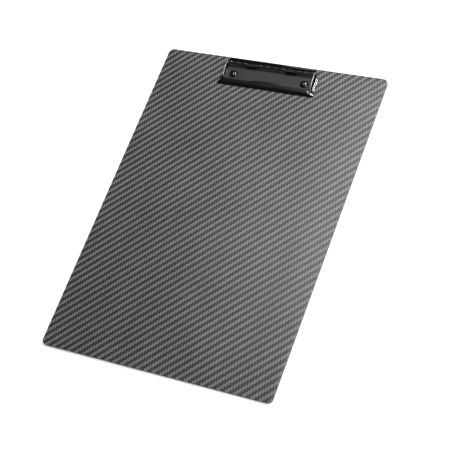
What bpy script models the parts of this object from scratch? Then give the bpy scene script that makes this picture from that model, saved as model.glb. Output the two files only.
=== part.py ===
"""Clipboard: a stiff flat board with a low sprung clip riveted near one end.

Metres, +Z up out of the board's front face, +Y towards the clip end. The origin is the
centre of the board's back face. Points of the clip are given as (x, inset, height): inset
is the distance from the board's clip-end edge, height is above the board's front face.
"""

import math

import bmesh
import bpy
from mathutils import Vector

# Board
BOARD_WIDTH = 0.225
BOARD_LENGTH = 0.318
BOARD_THICKNESS = 0.0025
BOARD_CORNER_RADIUS = 0.005
BOARD_EDGE_BREAK = 0.0003

# Clearances
SEAT_GAP = 0.0003
PIN_CLEARANCE = 0.0002
FINGER_BAR_CLEARANCE = 0.0008
LIP_CLEARANCE = 0.0004
SPRING_ROOM = 0.0009
TAIL_RECESS = 0.0001

# Clip as a whole
CLIP_WIDTH = 0.0984
HINGE_INSET = 0.0092
JAW_REACH = 0.0211

# Lever
LEVER_THICKNESS = 0.0009
LIP_WIDTH = 0.0024
LIP_START = 0.0003
LIP_END_LENGTH = 2.4
LIP_BEND = 0.0014
CURL_RADIUS = 0.0014
CURL_OVERHANG = 0.0048
CURL_RISE = 0.0001
CURL_END_SETBACK = 0.0012
CURL_OPENING = math.radians(105)
FINGER_BAR_DROP = 0.0015
REAR_CORNER_RADIUS = 0.0024
REAR_CORNER_DEPTH = 0.0008
REAR_CORNER_DROP = 0.0003
FRONT_CORNER_RADIUS = 0.0040
KNEE_CORNER_RADIUS = 0.0015
JAW_CORNER_RADIUS = 0.0008
JAW_TIP_FLARE = 0.0014
KNEE_FLARE = 0.0012
KNEE_FLARE_RISE = 0.0009
KNEE_LEAD = 0.0022
LIP_LEAD = 0.0034
LIP_FALL = 0.0007
JAW_BAR_DEPTH = 0.0052
JAW_BAR_HEIGHT = 0.0034
JAW_EDGE_HEIGHT = 0.0006
JAW_KNEE_SETBACK = 0.0014
JAW_KNEE_DROP = 0.0008
JAW_BEND = 0.0022
CROWN_HALF_WIDTH = 0.021
CROWN_SLOPE = 0.018
CROWN_DEPTH = 0.0017
CROWN_RISE = 0.0005
ARM_RISE = ((0.0008, 0.0026), (0.0053, 0.0029), (0.0088, 0.0021), (0.0118, 0.0010))
ARM_REAR_SLOPE = 0.35
ARM_FRONT_SLOPE = -0.6

# Base plate
PLATE_THICKNESS = 0.0010
PLATE_CORNER_RADIUS = 0.0020
PLATE_FRONT_INSET = 0.0250
PLATE_REAR_SETBACK = 0.0003
EAR_RADIUS = 0.0019
EAR_TAB_WIDTH = 0.0025
BEND_RELIEF = 0.0004

# Hinge pin
PIN_RADIUS = 0.0010
PIN_HEAD_RADIUS = 0.0016
PIN_HEAD_THICKNESS = 0.0005

# Torsion springs
WIRE_RADIUS = 0.00035
COIL_TURNS = 12
COIL_PITCH = 0.00085
COIL_CENTRE = 0.020
SPRING_FOOT = 0.0015
SPRING_LEG_REACH = 0.0035
SPRING_LEG_DROP = 0.0002

# Rivets
RIVET_SPACING = 0.0724
RIVET_INSET = 0.0184
RIVET_HEAD_RADIUS = 0.0040
RIVET_HEAD_HEIGHT = 0.0020
RIVET_RIM = 0.0004
RIVET_SHANK_RADIUS = 0.0017
RIVET_TAIL_RADIUS = 0.0034
RIVET_TAIL_THICKNESS = 0.0008

# Fineness of the curved surfaces
ROUND_STEPS = 24
CORNER_STEPS = 6
ARM_STEPS = 9
JAW_STEPS = 12
BEND_STEPS = 4
COIL_STEPS = 12

# Worked out from the sizes above
plate_bottom = SEAT_GAP
plate_top = plate_bottom + PLATE_THICKNESS
coil_radius = PIN_RADIUS + PIN_CLEARANCE + WIRE_RADIUS
coil_outside = coil_radius + WIRE_RADIUS
hinge_height = plate_top + SPRING_ROOM + coil_outside
hole_radius = PIN_RADIUS + PIN_CLEARANCE
jaw_half_width = CLIP_WIDTH / 2
lip_outside = jaw_half_width - JAW_TIP_FLARE
arm_outside = lip_outside - LIP_WIDTH
arm_middle = arm_outside - LEVER_THICKNESS / 2
ear_outside = arm_outside - LEVER_THICKNESS - SEAT_GAP
ear_inside = ear_outside - PLATE_THICKNESS
lip_height = LIP_CLEARANCE + LEVER_THICKNESS / 2
jaw_front_inset = HINGE_INSET + JAW_REACH
jaw_rear_inset = jaw_front_inset - JAW_BAR_DEPTH
curl_inset = HINGE_INSET - CURL_OVERHANG
curl_height = hinge_height + CURL_RISE
curl_middle_radius = CURL_RADIUS - LEVER_THICKNESS / 2
finger_rear_height = curl_height + curl_middle_radius
finger_front_inset = HINGE_INSET - coil_outside - FINGER_BAR_CLEARANCE
finger_front_height = finger_rear_height - FINGER_BAR_DROP
rear_corner_inset = curl_inset + REAR_CORNER_DEPTH
arm_rear_inset = HINGE_INSET - EAR_RADIUS
knee_height = JAW_BAR_HEIGHT - JAW_KNEE_DROP
corner_start = jaw_rear_inset - FRONT_CORNER_RADIUS
knee_corner_inset = jaw_front_inset - JAW_KNEE_SETBACK - KNEE_CORNER_RADIUS


def world(x, inset, height):
    """World position of a point given from the board's clip-end edge and front face."""
    return Vector((x, BOARD_LENGTH / 2 - inset, BOARD_THICKNESS + height))


HINGE = world(0, HINGE_INSET, hinge_height)


# ---------------------------------------------------------------- helpers


def clear_scene():
    for item in list(bpy.data.objects):
        bpy.data.objects.remove(item, do_unlink=True)


def make_material(name, colour, roughness, metallic):
    material = bpy.data.materials.new(name)
    material.use_nodes = True
    shader = material.node_tree.nodes["Principled BSDF"]
    shader.inputs["Base Color"].default_value = (*colour, 1)
    shader.inputs["Roughness"].default_value = roughness
    shader.inputs["Metallic"].default_value = metallic
    return material


def add_object(name, data, material=None, origin=Vector()):
    item = bpy.data.objects.new(name, data)
    bpy.context.scene.collection.objects.link(item)
    item.location = origin
    if material:
        data.materials.append(material)
    return item


def mesh_from(build, name, origin=Vector()):
    """Mesh made by build(bmesh), shaded smooth, with its origin moved to the given point."""
    shape = bmesh.new()
    build(shape)
    bmesh.ops.recalc_face_normals(shape, faces=shape.faces)
    bmesh.ops.translate(shape, verts=shape.verts, vec=-origin)
    mesh = bpy.data.meshes.new(name)
    shape.to_mesh(mesh)
    shape.free()
    mesh.shade_smooth()
    mesh.set_sharp_from_angle(angle=math.radians(35))
    return mesh


def make_helper(name, build):
    """A solid that only cuts or joins other objects."""
    helper = add_object(name, mesh_from(build, name))
    helper.hide_render = True
    helper.display_type = "WIRE"
    return helper


def combine(item, operation, helper):
    modifier = item.modifiers.new(helper.name, "BOOLEAN")
    modifier.operation = operation
    modifier.solver = "EXACT"
    modifier.object = helper


def extrude_outline(shape, points, depth):
    """Closed prism on a flat outline."""
    face = shape.faces.new([shape.verts.new(point) for point in points])
    sides = bmesh.ops.extrude_face_region(shape, geom=[face])["geom"]
    moved = [part for part in sides if isinstance(part, bmesh.types.BMVert)]
    bmesh.ops.translate(shape, verts=moved, vec=depth)


def turn_profile(shape, profile, centre, steps):
    """Solid turned about a line along Z through centre; profile is (radius, z) from end to end."""
    points = [shape.verts.new((centre.x + radius, centre.y, z)) for radius, z in profile]
    edges = [shape.edges.new(pair) for pair in zip(points, points[1:])]
    bmesh.ops.spin(
        shape,
        geom=points + edges,
        cent=centre,
        axis=(0, 0, 1),
        angle=math.tau,
        steps=steps,
        use_merge=True,
    )
    bmesh.ops.remove_doubles(shape, verts=shape.verts, dist=1e-6)


def add_bar(shape, radius, x_low, x_high, inset, height, steps):
    """Round bar along X."""
    ring = [math.tau * step / steps for step in range(steps)]
    points = [
        world(x_low, inset + radius * math.cos(turn), height + radius * math.sin(turn))
        for turn in ring
    ]
    extrude_outline(shape, points, Vector((x_high - x_low, 0, 0)))


def rounded_corner(centre_a, centre_b, radius, start, end, steps=CORNER_STEPS):
    """Points of an arc in a plane, from angle start to angle end."""
    turns = [start + (end - start) * step / steps for step in range(steps + 1)]
    return [
        (centre_a + radius * math.cos(turn), centre_b + radius * math.sin(turn)) for turn in turns
    ]


def smooth(share):
    share = min(max(share, 0), 1)
    return share * share * (3 - 2 * share)


def mix(start, end, share):
    return start + (end - start) * share


# ---------------------------------------------------------------- board


def rivet_centre(side):
    return world(side * RIVET_SPACING / 2, RIVET_INSET, 0)


def board_outline():
    radius = BOARD_CORNER_RADIUS
    half_x = BOARD_WIDTH / 2 - radius
    half_y = BOARD_LENGTH / 2 - radius
    corners = ((half_x, half_y), (-half_x, half_y), (-half_x, -half_y), (half_x, -half_y))
    points = []
    for quarter, (x, y) in enumerate(corners):
        start = quarter * math.pi / 2
        points += rounded_corner(x, y, radius, start, start + math.pi / 2)
    return [Vector((x, y, 0)) for x, y in points]


def make_board(material):
    depth = Vector((0, 0, BOARD_THICKNESS))
    mesh = mesh_from(lambda shape: extrude_outline(shape, board_outline(), depth), "board")
    board = add_object("board", mesh, material)
    edge_break = board.modifiers.new("edge_break", "BEVEL")
    edge_break.width = BOARD_EDGE_BREAK
    edge_break.segments = 1
    edge_break.limit_method = "ANGLE"
    edge_break.angle_limit = math.radians(60)
    tail_hole = RIVET_TAIL_RADIUS + SEAT_GAP
    shank_hole = RIVET_SHANK_RADIUS + SEAT_GAP
    ceiling = TAIL_RECESS + RIVET_TAIL_THICKNESS + SEAT_GAP
    beyond = BOARD_THICKNESS
    profile = (
        (0, BOARD_THICKNESS + beyond),
        (shank_hole, BOARD_THICKNESS + beyond),
        (shank_hole, ceiling),
        (tail_hole, ceiling),
        (tail_hole, -beyond),
        (0, -beyond),
    )
    for side, word in ((-1, "left"), (1, "right")):
        centre = rivet_centre(side)
        centre.z = 0
        helper = make_helper(
            "board_hole_" + word,
            lambda shape, at=centre: turn_profile(shape, profile, at, ROUND_STEPS),
        )
        combine(board, "DIFFERENCE", helper)


# ---------------------------------------------------------------- base plate


def plate_outline():
    """Right half from the rear middle round to the front middle, then its mirror image."""
    tab_inside = ear_outside - EAR_TAB_WIDTH
    tab_outside = ear_outside - PLATE_THICKNESS / 2
    tab_rear = arm_rear_inset + BEND_RELIEF
    tab_front = HINGE_INSET + EAR_RADIUS + BEND_RELIEF
    rear = HINGE_INSET - PLATE_REAR_SETBACK
    radius = PLATE_CORNER_RADIUS
    half = [
        (0, rear),
        (tab_inside, rear),
        (tab_inside, tab_rear),
        (tab_outside, tab_rear),
        (tab_outside, tab_front),
        (ear_outside, tab_front),
    ]
    half += rounded_corner(ear_outside - radius, PLATE_FRONT_INSET - radius, radius, 0, math.pi / 2)
    half.append((0, PLATE_FRONT_INSET))
    mirrored = [(-x, inset) for x, inset in half[-2:0:-1]]
    return [world(x, inset, plate_bottom) for x, inset in half + mirrored]


def ear_outline(x):
    """Upturned ear, whose foot starts half way up the plate's edge, as a bend does."""
    foot_height = plate_bottom + PLATE_THICKNESS / 2
    top = rounded_corner(HINGE_INSET, hinge_height, EAR_RADIUS, 0, math.pi, 2 * CORNER_STEPS)
    foot = [(HINGE_INSET - EAR_RADIUS, foot_height), (HINGE_INSET + EAR_RADIUS, foot_height)]
    return [world(x, inset, height) for inset, height in top + foot]


def make_base_plate(material, pin_hole):
    thickness = Vector((0, 0, PLATE_THICKNESS))
    mesh = mesh_from(lambda shape: extrude_outline(shape, plate_outline(), thickness), "base_plate")
    plate = add_object("base_plate", mesh, material)
    hole = RIVET_SHANK_RADIUS + SEAT_GAP
    for side, word in ((-1, "left"), (1, "right")):
        inner_x = side * ear_inside
        width = Vector((side * PLATE_THICKNESS, 0, 0))
        ear = make_helper(
            "ear_" + word,
            lambda shape, x=inner_x, by=width: extrude_outline(shape, ear_outline(x), by),
        )
        combine(plate, "UNION", ear)
        centre = rivet_centre(side)
        low = centre.z
        high = centre.z + 2 * plate_top
        profile = ((0, high), (hole, high), (hole, low), (0, low))
        rivet_hole = make_helper(
            "plate_hole_" + word,
            lambda shape, at=centre, turned=profile: turn_profile(shape, turned, at, ROUND_STEPS),
        )
        combine(plate, "DIFFERENCE", rivet_hole)
    combine(plate, "DIFFERENCE", pin_hole)


# ---------------------------------------------------------------- rivets, pin and springs


def rivet_profile():
    """Domed head, shank through the plate and the board, tail spread in the board's back."""
    head_foot = BOARD_THICKNESS + plate_top + SEAT_GAP
    crown = RIVET_HEAD_HEIGHT - RIVET_RIM
    sphere = (RIVET_HEAD_RADIUS**2 + crown**2) / (2 * crown)
    reach = math.asin(RIVET_HEAD_RADIUS / sphere)
    top = head_foot + RIVET_HEAD_HEIGHT
    dome = []
    for step in range(CORNER_STEPS + 1):
        tilt = reach * step / CORNER_STEPS
        dome.append((sphere * math.sin(tilt), top - sphere * (1 - math.cos(tilt))))
    tail_top = TAIL_RECESS + RIVET_TAIL_THICKNESS
    return dome + [
        (RIVET_HEAD_RADIUS, head_foot),
        (RIVET_SHANK_RADIUS, head_foot),
        (RIVET_SHANK_RADIUS, tail_top),
        (RIVET_TAIL_RADIUS, tail_top),
        (RIVET_TAIL_RADIUS, TAIL_RECESS),
        (0, TAIL_RECESS),
    ]


def make_rivet(name, side, material):
    centre = rivet_centre(side)
    centre.z = 0
    mesh = mesh_from(
        lambda shape: turn_profile(shape, rivet_profile(), centre, ROUND_STEPS), name, centre
    )
    add_object(name, mesh, material, centre)


def make_hinge_pin(material):
    """Rod peened over outside both arms: turned about X, so built along Z and swung round."""
    head_inside = arm_outside + SEAT_GAP
    head_outside = head_inside + PIN_HEAD_THICKNESS
    profile = (
        (0, head_outside),
        (PIN_HEAD_RADIUS, head_outside),
        (PIN_HEAD_RADIUS, head_inside),
        (PIN_RADIUS, head_inside),
        (PIN_RADIUS, -head_inside),
        (PIN_HEAD_RADIUS, -head_inside),
        (PIN_HEAD_RADIUS, -head_outside),
        (0, -head_outside),
    )
    mesh = mesh_from(
        lambda shape: turn_profile(shape, profile, Vector(), ROUND_STEPS), "hinge_pin"
    )
    pin = add_object("hinge_pin", mesh, material, HINGE)
    pin.rotation_euler = (0, math.pi / 2, 0)


def spring_route(side):
    """Moving leg under the finger bar, coil on the pin, fixed foot on the base plate."""
    start_turn = -math.pi / 2
    end_turn = math.radians(-135) + math.tau * COIL_TURNS
    length = COIL_PITCH * (COIL_TURNS - 0.125)
    first_x = COIL_CENTRE - length / 2
    bottom = hinge_height - coil_radius
    route = [
        (first_x, HINGE_INSET - SPRING_LEG_REACH, bottom - SPRING_LEG_DROP),
        (first_x, HINGE_INSET - SPRING_LEG_REACH * 0.66, bottom - SPRING_LEG_DROP * 0.92),
        (first_x, HINGE_INSET - SPRING_LEG_REACH * 0.22, bottom - SPRING_LEG_DROP * 0.15),
    ]
    steps = round((end_turn - start_turn) / math.tau * COIL_STEPS)
    for step in range(steps + 1):
        share = step / steps
        turn = mix(start_turn, end_turn, share)
        inset = HINGE_INSET + coil_radius * math.cos(turn)
        height = hinge_height + coil_radius * math.sin(turn)
        route.append((mix(first_x, first_x + length, share), inset, height))
    foot_height = plate_top + SEAT_GAP + WIRE_RADIUS
    last_x, last_inset, last_height = route[-1]
    foot_inset = last_inset + last_height - foot_height
    route.append((last_x, foot_inset, foot_height))
    route.append((last_x, foot_inset + SPRING_FOOT, foot_height))
    return [world(side * x, inset, height) for x, inset, height in route]


def make_spring(name, side, material):
    wire = bpy.data.curves.new(name, "CURVE")
    wire.dimensions = "3D"
    wire.bevel_depth = WIRE_RADIUS
    wire.bevel_resolution = 1
    wire.use_fill_caps = True
    route = spring_route(side)
    line = wire.splines.new("POLY")
    line.points.add(len(route) - 1)
    for point, place in zip(line.points, route):
        point.co = (*(place - HINGE), 1)
    add_object(name, wire, material, HINGE)


# ---------------------------------------------------------------- lever


def arm_crest(inset):
    """Height of the arm's upper edge, a smooth curve through the finger bar, hump and jaw bar."""
    rear = (curl_inset, finger_rear_height)
    front = (jaw_rear_inset, JAW_BAR_HEIGHT)
    humps = [(HINGE_INSET + along, hinge_height + rise) for along, rise in ARM_RISE]
    points = [rear, *humps, front]
    slopes = [ARM_REAR_SLOPE]
    for before, after in zip(points, points[2:]):
        slopes.append((after[1] - before[1]) / (after[0] - before[0]))
    slopes.append(ARM_FRONT_SLOPE)
    inset = min(max(inset, rear[0]), front[0])
    for index, (low, high) in enumerate(zip(points, points[1:])):
        if inset <= high[0]:
            break
    span = high[0] - low[0]
    t = (inset - low[0]) / span
    return (
        (2 * t**3 - 3 * t**2 + 1) * low[1]
        + (t**3 - 2 * t**2 + t) * span * slopes[index]
        + (3 * t**2 - 2 * t**3) * high[1]
        + (t**3 - t**2) * span * slopes[index + 1]
    )


def crown(x):
    return smooth((CROWN_HALF_WIDTH - abs(x)) / CROWN_SLOPE)


def sheet_section(upper, knee, lower, bend):
    """Middle line of the sheet from its upper edge, round the bend at the knee, to its lower edge."""
    up = upper - knee
    down = lower - knee
    first = knee + up.normalized() * min(bend, 0.45 * up.length)
    last = knee + down.normalized() * min(bend, 0.45 * down.length)
    line = [upper, (upper + first) / 2]
    for step in range(BEND_STEPS + 1):
        t = step / BEND_STEPS
        line.append(first * (1 - t) ** 2 + knee * 2 * t * (1 - t) + last * t * t)
    line.append(lower)
    return line


def rear_bar_sections():
    """From the middle of the finger bar out to where its end turns into the arm."""
    turn_x = arm_middle - REAR_CORNER_RADIUS
    straight_x = ear_inside - EAR_TAB_WIDTH
    places = [(straight_x * share, 0) for share in (0, 0.25, 0.5, 0.75)]
    places += [(mix(straight_x, turn_x, share), share) for share in (0, 0.25, 0.5, 0.75, 1)]
    sections = []
    for x, narrowed in places:
        lower_inset = mix(finger_front_inset, rear_corner_inset, smooth(narrowed))
        upper = Vector((x, curl_inset, finger_rear_height))
        lower = Vector((x, lower_inset, finger_front_height))
        sections.append((upper, (upper + lower) / 2, lower))
    return sections


def rear_corner_sections():
    """Round the rear corner, from the finger bar's end into the upright arm."""
    radius = REAR_CORNER_RADIUS
    sections = []
    for step in range(1, CORNER_STEPS + 1):
        share = step / CORNER_STEPS
        turn = share * math.pi / 2
        x = arm_middle - radius * (1 - math.sin(turn))
        upper_inset = curl_inset + radius * (1 - math.cos(turn))
        lower_inset = mix(rear_corner_inset, arm_rear_inset, 1 - math.cos(turn))
        upper = Vector((x, upper_inset, arm_crest(upper_inset)))
        lower = Vector((x, lower_inset, finger_front_height - REAR_CORNER_DROP * share))
        sections.append((upper, (upper + lower) / 2, lower))
    return sections


def arm_sections():
    """Along the upright arm: its foot drops, flares into the lip and runs to the front corner."""
    lip_inset = HINGE_INSET + LIP_START
    full_inset = lip_inset + LIP_END_LENGTH * LEVER_THICKNESS
    wall_foot = lip_height + LEVER_THICKNESS
    rear_foot = finger_front_height - REAR_CORNER_DROP
    sections = []
    for share in (0.4, 0.75):
        inset = mix(arm_rear_inset, lip_inset, share)
        upper = Vector((arm_middle, inset, arm_crest(inset)))
        lower = Vector((arm_middle, inset, mix(rear_foot, wall_foot, smooth(share))))
        sections.append((upper, (upper + lower) / 2, lower))
    for step in range(1, CORNER_STEPS + 1):
        share = step / CORNER_STEPS
        inset = mix(lip_inset, full_inset, share)
        foot = mix(wall_foot, lip_height, smooth(share))
        upper = Vector((arm_middle, inset, arm_crest(inset)))
        knee = Vector((arm_middle, inset, mix(wall_foot, lip_height + LIP_FALL, smooth(share))))
        lower = Vector((mix(arm_middle, lip_outside, smooth(share)), inset, foot))
        sections.append((upper, knee, lower))
    for step in range(1, ARM_STEPS + 1):
        share = step / ARM_STEPS
        upper_inset = mix(full_inset, corner_start, share)
        knee_inset = mix(full_inset, corner_start + KNEE_LEAD, share)
        lower_inset = mix(full_inset, corner_start + LIP_LEAD, share)
        upper = Vector((arm_middle, upper_inset, arm_crest(upper_inset)))
        knee = Vector((arm_middle, knee_inset, lip_height + LIP_FALL))
        lower = Vector((lip_outside, lower_inset, lip_height))
        sections.append((upper, knee, lower))
    return sections


def corner_track(start, tip, end, radii, share):
    """A line that runs from start to tip over the first half, then round an arc to end."""
    if share < 0.5:
        flare = smooth(2 * share)
        return Vector(
            (mix(start.x, tip.x, flare), mix(start.y, tip.y, 2 * share), mix(start.z, tip.z, flare))
        )
    turn = (2 * share - 1) * math.pi / 2
    aside = radii[0] * (1 - math.cos(turn))
    ahead = radii[1] * math.sin(turn)
    return Vector((tip.x - aside, tip.y + ahead, mix(tip.z, end.z, smooth(2 * share - 1))))


def front_corner_sections():
    """Round the front corner, from the arm and its lip into the jaw bar."""
    knee_start = Vector((arm_middle, corner_start + KNEE_LEAD, lip_height + LIP_FALL))
    knee_tip = Vector((arm_middle + KNEE_FLARE, knee_corner_inset, lip_height + KNEE_FLARE_RISE))
    knee_end = Vector((0, 0, knee_height))
    knee_radii = (KNEE_FLARE + KNEE_CORNER_RADIUS, KNEE_CORNER_RADIUS)
    lip_start = Vector((lip_outside, corner_start + LIP_LEAD, lip_height))
    lip_tip = Vector((jaw_half_width, jaw_front_inset - JAW_CORNER_RADIUS, lip_height))
    lip_end = Vector((0, 0, JAW_EDGE_HEIGHT))
    lip_radii = (JAW_CORNER_RADIUS, JAW_CORNER_RADIUS)
    sections = []
    steps = 2 * CORNER_STEPS
    for step in range(1, steps + 1):
        share = step / steps
        turn = share * math.pi / 2
        upper_inset = corner_start + FRONT_CORNER_RADIUS * math.sin(turn)
        upper_x = arm_middle - FRONT_CORNER_RADIUS * (1 - math.cos(turn))
        upper = Vector((upper_x, upper_inset, arm_crest(upper_inset)))
        knee = corner_track(knee_start, knee_tip, knee_end, knee_radii, share)
        lower = corner_track(lip_start, lip_tip, lip_end, lip_radii, share)
        sections.append((upper, knee, lower))
    return sections


def jaw_bar_sections():
    """From the front corner in to the middle of the jaw bar, with its raised crown."""
    last_upper, last_knee, last_lower = front_corner_sections()[-1]
    sections = []
    for step in range(1, JAW_STEPS + 1):
        left = 1 - step / JAW_STEPS
        upper_x = last_upper.x * left
        swell = crown(upper_x)
        upper = Vector(
            (upper_x, jaw_rear_inset - CROWN_DEPTH * swell, JAW_BAR_HEIGHT + CROWN_RISE * swell)
        )
        knee = Vector((last_knee.x * left, last_knee.y, last_knee.z))
        lower = Vector((last_lower.x * left, last_lower.y, last_lower.z))
        sections.append((upper, knee, lower))
    return sections


def lever_sheet(shape):
    """Middle surface of the pressed frame: sections set side by side in a closed ring."""
    half = rear_bar_sections() + rear_corner_sections() + arm_sections()
    half += front_corner_sections() + jaw_bar_sections()
    mirrored = [
        tuple(Vector((-point.x, point.y, point.z)) for point in section)
        for section in half[-2:0:-1]
    ]
    rows = []
    for upper, knee, lower in half + mirrored:
        bend = mix(LIP_BEND, JAW_BEND, smooth((knee.z - lip_height) / JAW_BAR_HEIGHT))
        line = sheet_section(upper, knee, lower, bend)
        rows.append([shape.verts.new(world(*point)) for point in line])
    for row, following in zip(rows, rows[1:] + rows[:1]):
        for index in range(len(row) - 1):
            shape.faces.new((row[index], row[index + 1], following[index + 1], following[index]))


def finger_curl(shape):
    """Rolled rear edge of the finger bar, open underneath towards the front."""
    start = math.radians(60)
    end = start + math.tau - CURL_OPENING
    steps = 3 * CORNER_STEPS
    outer = rounded_corner(curl_inset, curl_height, CURL_RADIUS, start, end, steps)
    hollow = CURL_RADIUS - LEVER_THICKNESS
    inner = rounded_corner(curl_inset, curl_height, hollow, end, start, steps)
    reach = arm_middle - CURL_END_SETBACK
    points = [world(-reach, inset, height) for inset, height in outer + inner]
    extrude_outline(shape, points, Vector((2 * reach, 0, 0)))


def make_lever(material, pin_hole):
    mesh = mesh_from(lever_sheet, "lever", HINGE)
    lever = add_object("lever", mesh, material, HINGE)
    sheet = lever.modifiers.new("sheet_thickness", "SOLIDIFY")
    sheet.thickness = LEVER_THICKNESS
    sheet.offset = 0
    sheet.use_even_offset = False
    combine(lever, "UNION", make_helper("finger_curl", finger_curl))
    combine(lever, "DIFFERENCE", pin_hole)


# ---------------------------------------------------------------- assembly


def make_pin_hole():
    reach = CLIP_WIDTH
    return make_helper(
        "pin_hole",
        lambda shape: add_bar(
            shape, hole_radius, -reach, reach, HINGE_INSET, hinge_height, ROUND_STEPS
        ),
    )


def make_clipboard():
    woven = make_material("woven_board", (0.09, 0.09, 0.088), 0.45, 0.0)
    satin = make_material("satin_black_steel", (0.045, 0.046, 0.045), 0.38, 0.0)
    gloss = make_material("gloss_black_steel", (0.012, 0.012, 0.012), 0.18, 0.0)
    wire = make_material("black_spring_wire", (0.02, 0.02, 0.02), 0.35, 0.5)
    pin_hole = make_pin_hole()
    make_board(woven)
    make_base_plate(satin, pin_hole)
    make_rivet("rivet_left", -1, gloss)
    make_rivet("rivet_right", 1, gloss)
    make_hinge_pin(gloss)
    make_spring("spring_left", -1, wire)
    make_spring("spring_right", 1, wire)
    make_lever(gloss, pin_hole)


clear_scene()
make_clipboard()
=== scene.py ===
"""Looks of the clipboard: woven fibre board, black sprung clip, floor, lights and camera.

Metres, +Z up out of the board's front face, +Y towards the clip end. Points of the clip are
(x, inset, height): inset from the board's clip-end edge, height above its front face.
"""

import math

import bmesh
import bpy
from mathutils import Matrix, Vector

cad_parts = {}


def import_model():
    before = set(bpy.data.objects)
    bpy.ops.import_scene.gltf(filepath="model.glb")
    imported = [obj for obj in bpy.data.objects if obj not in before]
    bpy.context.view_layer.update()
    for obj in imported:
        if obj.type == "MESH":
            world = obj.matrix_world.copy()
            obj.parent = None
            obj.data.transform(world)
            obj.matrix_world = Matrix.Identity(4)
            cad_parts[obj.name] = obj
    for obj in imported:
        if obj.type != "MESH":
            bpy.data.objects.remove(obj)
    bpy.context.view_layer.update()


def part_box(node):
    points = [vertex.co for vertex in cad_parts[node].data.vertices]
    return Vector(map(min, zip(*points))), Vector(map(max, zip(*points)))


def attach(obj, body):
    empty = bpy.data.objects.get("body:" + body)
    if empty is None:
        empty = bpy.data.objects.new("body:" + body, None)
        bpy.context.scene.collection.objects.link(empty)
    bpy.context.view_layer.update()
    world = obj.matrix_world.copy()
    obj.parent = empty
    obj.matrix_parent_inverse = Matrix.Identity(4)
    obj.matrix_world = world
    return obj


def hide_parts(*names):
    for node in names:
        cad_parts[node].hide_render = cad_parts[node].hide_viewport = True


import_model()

# ---------------------------------------------------------------- sizes

MM = 0.001
board_low, board_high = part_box("board")
BOARD_THICKNESS = board_high.z
CLIP_END = board_high.y
CORNER_RADIUS = 5.0 * MM
EDGE_BREAK = 0.3 * MM
HOLE_CHAMFER = 0.15 * MM

HINGE_INSET = 9.2 * MM
HINGE_HEIGHT = 4.1 * MM
JAW_FRONT_INSET = 30.3 * MM
JAW_REAR_INSET = 25.1 * MM
ARM_OUTSIDE = 45.4 * MM
LIP_OUTSIDE = 47.8 * MM
JAW_HALF_WIDTH = 49.2 * MM

SHEET = 0.9 * MM
SHEET_EDGE = 0.38 * MM
ARM_MIDDLE = ARM_OUTSIDE - SHEET / 2
LIP_HEIGHT = 0.4 * MM + SHEET / 2
LIP_START = 0.3 * MM
LIP_END_LENGTH = 2.4
# Band along each arm's crest that gets the painted highlight material.
CREST_HALF_WIDTH = 0.36 * MM
CREST_DEPTH = 0.2 * MM
CREST_REAR = 2 * MM
CREST_FRONT = 1 * MM
CURL_INSET = 4.4 * MM
CURL_HEIGHT = 4.2 * MM
CURL_RADIUS = 1.4 * MM
CURL_START = math.radians(60)
CURL_OPENING = math.radians(105)
CURL_END_SETBACK = 1.2 * MM
CURL_EDGE = 0.16 * MM
FINGER_REAR_HEIGHT = CURL_HEIGHT + CURL_RADIUS - SHEET / 2
FINGER_FRONT_INSET = 6.5 * MM
FINGER_FRONT_HEIGHT = FINGER_REAR_HEIGHT - 1.5 * MM
REAR_CORNER_RADIUS = 2.4 * MM
REAR_CORNER_INSET = CURL_INSET + 0.8 * MM
REAR_CORNER_DROP = 0.3 * MM
FRONT_CORNER_RADIUS = 4.0 * MM
KNEE_CORNER_RADIUS = 1.5 * MM
JAW_CORNER_RADIUS = 0.8 * MM
KNEE_FLARE = 1.2 * MM
KNEE_FLARE_RISE = 0.9 * MM
KNEE_LEAD = 2.2 * MM
LIP_LEAD = 3.4 * MM
LIP_FALL = 0.7 * MM
LIP_BEND = 1.4 * MM
JAW_BEND = 2.2 * MM
JAW_BAR_HEIGHT = 3.4 * MM
JAW_EDGE_HEIGHT = 0.6 * MM
JAW_KNEE_SETBACK = 1.4 * MM
KNEE_HEIGHT = JAW_BAR_HEIGHT - 0.8 * MM
CROWN_HALF_WIDTH = 21 * MM
CROWN_SLOPE = 18 * MM
CROWN_DEPTH = 1.7 * MM
CROWN_RISE = 0.5 * MM
ARM_RISE = ((0.8, 2.6), (5.3, 2.9), (8.8, 2.1), (11.8, 1.0))
ARM_REAR_SLOPE = 0.35
ARM_FRONT_SLOPE = -0.6
REAR_CORNER_STEPS = 12
ARM_FOOT_STEPS = 6
LIP_END_STEPS = 12
LIP_STEPS = 20
FRONT_CORNER_STEPS = 28
JAW_STEPS = 40

PLATE_LOW = 0.3 * MM
PLATE_TOP = 1.3 * MM
PLATE_THICKNESS = PLATE_TOP - PLATE_LOW
PLATE_FRONT_INSET = 25.0 * MM
PLATE_REAR_INSET = 8.9 * MM
PLATE_CORNER = 2.0 * MM
PLATE_EDGE = 0.14 * MM
TAB_SETBACK = 2.5 * MM
TAB_CORNER = 0.6 * MM
EAR_RELIEF = 0.4 * MM
EAR_OUTSIDE = 44.2 * MM
EAR_RADIUS = 1.9 * MM
EAR_BEND = 0.8 * MM
EAR_FOOT = 3.4 * MM
EAR_STRIP_SPARE = 0.8 * MM
EAR_STEP_LOW = 1.6 * MM
EAR_STEP_HIGH = 2.2 * MM
EAR_CUT_WIDTH = 6 * MM
PIN_RADIUS = 1.0 * MM
PIN_HEAD_RADIUS = 1.6 * MM
PIN_HEAD = 0.5 * MM
HOLE_RADIUS = 1.2 * MM
CUTTER_SPARE = 1 * MM

WIRE_RADIUS = 0.35 * MM
COIL_RADIUS = 1.55 * MM
COIL_TURNS = 12
COIL_STEPS = 28
COIL_PITCH = 0.85 * MM
COIL_CENTRE = 20 * MM
LEG_LAP = math.radians(45)

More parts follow.
